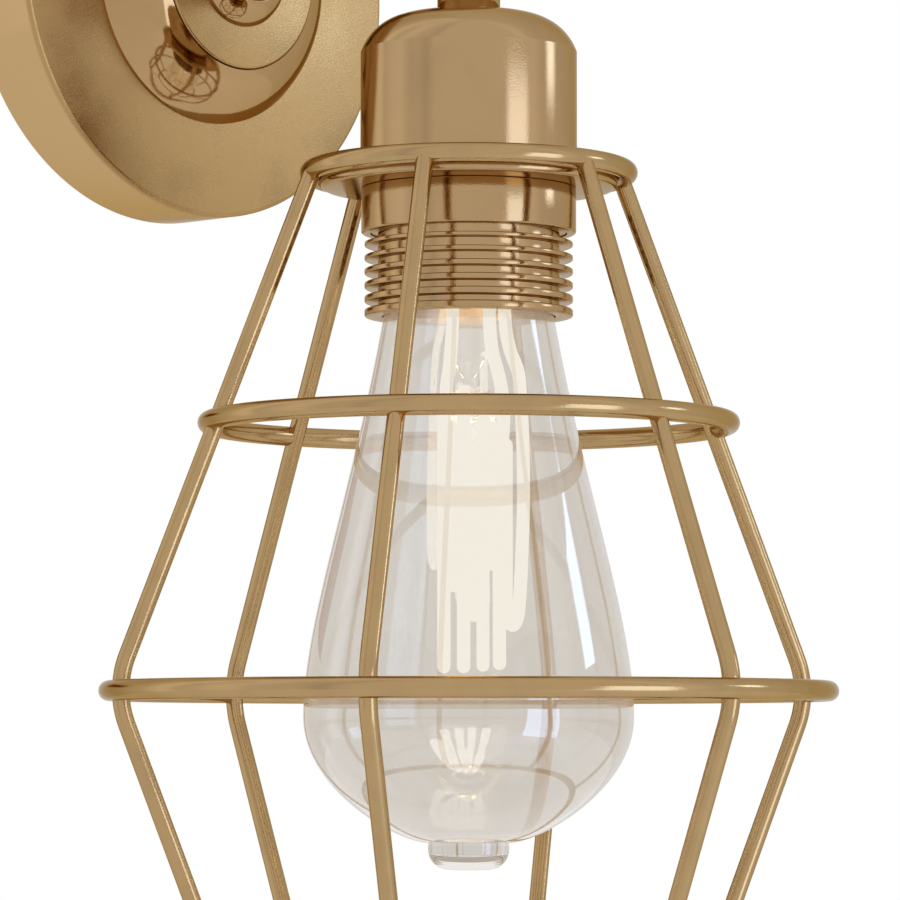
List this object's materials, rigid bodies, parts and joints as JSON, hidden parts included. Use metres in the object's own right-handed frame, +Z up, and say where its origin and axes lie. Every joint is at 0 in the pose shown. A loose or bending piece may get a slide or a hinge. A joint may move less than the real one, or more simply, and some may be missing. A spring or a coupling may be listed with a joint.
{
  "type": "cage wall light",
  "caption": "Wall light with a round wall plate, a stepped hub, a bent arm, a lamp cup with a ribbed skirt and a wire cage round a clear pear-shaped bulb.",
  "frame": {"origin": "centre of the two wall screw slots, on the wall plane", "axes": "+Z up; +Y into the wall, so the lamp stands out towards -Y; +X to the right as seen facing the wall"},
  "size_m": [0.144, 0.1645, 0.2545],
  "materials": {
    "plated_gold": "satin plated",
    "polished_gold": "polished plated",
    "cage_gold": "polished plated",
    "zinc_steel": "zinc plated",
    "bare_brass": "turned",
    "porcelain": "glazed",
    "white_plastic": "moulded",
    "brown_lead": "extruded",
    "blue_lead": "extruded",
    "green_lead": "extruded",
    "clear_glass": "clear",
    "cap_metal": "pressed",
    "black_glass": "glazed",
    "support_wire": "drawn",
    "glowing_filament": "glowing"
  },
  "bodies": {
    "fixture": {"wall_bracket": "zinc_steel", "bracket_nuts": "zinc_steel", "earth_screw": "bare_brass", "terminal_block": "porcelain", "terminal_clamps": "bare_brass", "wall_plate": "plated_gold", "side_screws": "polished_gold", "hub_dome": "polished_gold", "hub_disc": "plated_gold", "hub_boss": "polished_gold", "arm_tube": "plated_gold", "wall_nipple": "bare_brass", "wall_washer": "zinc_steel", "wall_nut": "zinc_steel", "wire_bush": "white_plastic", "cup": "plated_gold", "cup_nipple": "bare_brass", "cup_nuts": "zinc_steel", "holder_yoke": "zinc_steel", "earth_tag": "bare_brass", "holder_screws": "zinc_steel", "holder_body": "porcelain", "holder_shell": "bare_brass", "holder_contact": "bare_brass", "holder_terminals": "bare_brass", "holder_skirt": "plated_gold", "lead_live": "brown_lead", "lead_neutral": "blue_lead", "lead_earth": "green_lead"},
    "retaining_ring": {"retaining_ring": "plated_gold"},
    "cage": {"cage_top_plate": "plated_gold", "cage_ring_top": "cage_gold", "cage_ring_middle": "cage_gold", "cage_ring_wide": "cage_gold", "cage_ring_bottom": "cage_gold", "cage_wire_1": "cage_gold", "cage_wire_2": "cage_gold", "cage_wire_3": "cage_gold", "cage_wire_4": "cage_gold", "cage_wire_5": "cage_gold", "cage_wire_6": "cage_gold"},
    "bulb": {"bulb_glass": "clear_glass", "bulb_cap": "cap_metal", "bulb_insulator": "black_glass", "bulb_tip": "cap_metal", "bulb_stem": "clear_glass", "bulb_supports": "support_wire", "bulb_filament": "glowing_filament"}
  },
  "joints": [
    {"name": "bulb_unscrew", "type": "slide", "parent": "fixture", "child": "bulb", "axis": [0, 0, -1], "range_m": [0, 0.165]},
    {"name": "cage_turn", "type": "hinge", "parent": "fixture", "child": "cage", "pos_m": [0, -0.0925, -0.0506], "axis": [0, 0, 1], "continuous": true},
    {"name": "ring_turn", "type": "hinge", "parent": "fixture", "child": "retaining_ring", "pos_m": [0, -0.0925, -0.0558], "axis": [0, 0, 1], "continuous": true}
  ]
}
